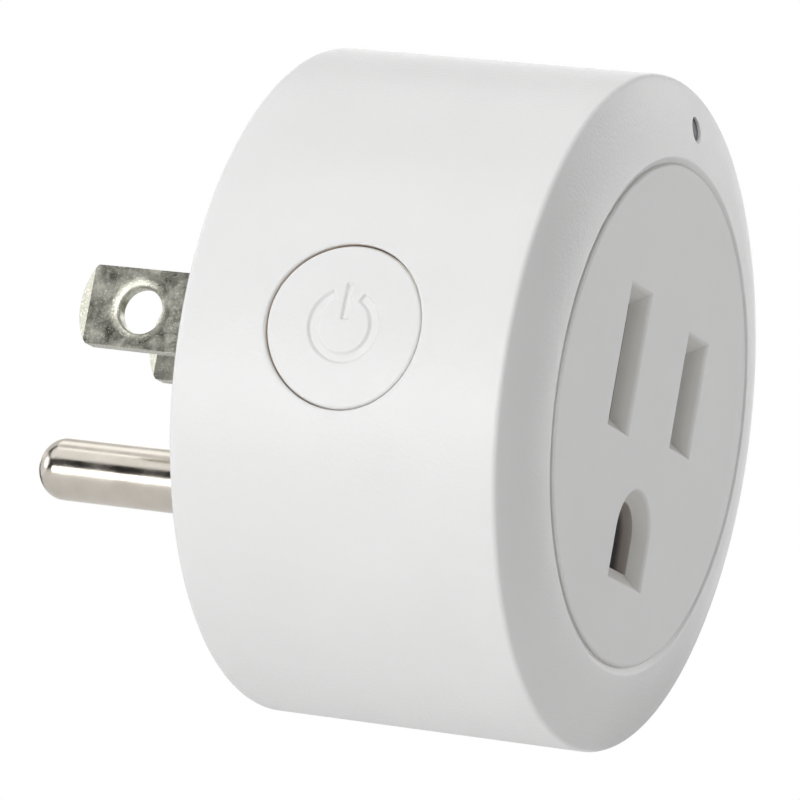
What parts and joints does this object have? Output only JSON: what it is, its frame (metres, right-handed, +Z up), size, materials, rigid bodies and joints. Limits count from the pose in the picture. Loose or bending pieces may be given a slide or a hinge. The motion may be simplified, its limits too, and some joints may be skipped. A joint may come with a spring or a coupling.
{
  "type": "smart plug",
  "caption": "Round wall plug with a three-hole outlet in front, two blades and a ground pin behind, a side power button and electronics inside.",
  "frame": {"origin": "centre of the round rear face that lies against the wall", "axes": "+Z up, -Y out of the outlet face into the room, +Y along the blades into the wall, -X towards the power button"},
  "size_m": [0.05, 0.0487, 0.05],
  "materials": {
    "white_housing": "fine moulded grain",
    "white_insert": "fine matt grain",
    "nickel_plate": "nickel plate, slightly mottled",
    "spring_brass": "rolled",
    "steel": "zinc plated",
    "tin_plate": "satin",
    "circuit_board": "solder mask over copper traces",
    "black_plastic": "moulded",
    "blue_plastic": "moulded",
    "yellow_plastic": "moulded",
    "clear_plastic": "clear acrylic",
    "ceramic": "fired",
    "copper_winding": "enamelled wire",
    "shrink_sleeve": "shrink sleeve"
  },
  "bodies": {
    "plug_body": {"front_housing": "white_housing", "rear_cover": "white_housing", "outlet_insert": "white_insert", "socket_block": "black_plastic", "contact_carrier": "black_plastic", "neutral_blade": "nickel_plate", "hot_blade": "nickel_plate", "ground_pin": "nickel_plate", "neutral_contact": "spring_brass", "hot_contact": "spring_brass", "ground_contact": "spring_brass", "main_board": "circuit_board", "button_board": "circuit_board", "wifi_module_board": "circuit_board", "wifi_shield_can": "tin_plate", "electrolytic_capacitor_1": "shrink_sleeve", "electrolytic_capacitor_2": "shrink_sleeve", "film_capacitor": "yellow_plastic", "varistor": "blue_plastic", "fuse_resistor": "ceramic", "choke": "copper_winding", "power_inductor": "shrink_sleeve", "bridge_rectifier": "black_plastic", "power_chip": "black_plastic", "voltage_regulator": "black_plastic", "status_led": "clear_plastic", "led_light_pipe": "clear_plastic", "tact_switch_body": "black_plastic", "relay_base": "black_plastic", "relay_case": "blue_plastic", "relay_coil": "copper_winding", "relay_core": "steel", "relay_yoke": "steel", "relay_fixed_contact": "spring_brass", "cover_screw_1": "steel", "cover_screw_2": "steel", "board_screw_1": "steel", "board_screw_2": "steel", "board_screw_3": "steel"},
    "button": {"power_button": "white_housing"},
    "switch_plunger": {"tact_switch_plunger": "black_plastic"},
    "armature": {"relay_armature": "steel"}
  },
  "joints": [
    {"name": "button_press", "type": "slide", "parent": "plug_body", "child": "button", "axis": [1, 0, 0], "range_m": [0, 0.00035], "stiffness_N_per_m": 500},
    {"name": "switch_plunger_press", "type": "slide", "parent": "plug_body", "child": "switch_plunger", "axis": [1, 0, 0], "range_m": [0, 0.00035]},
    {"name": "relay_armature_rock", "type": "hinge", "parent": "plug_body", "child": "armature", "pos_m": [0.0158, -0.0191, 0.0017], "axis": [1, 0, 0], "range_deg": [0, 5], "stiffness_Nm_per_rad": 0.02, "springref_deg": -2.86}
  ],
  "couplings": [
    {"joint": "switch_plunger_press", "follows": "button_press", "ratio": 1}
  ]
}
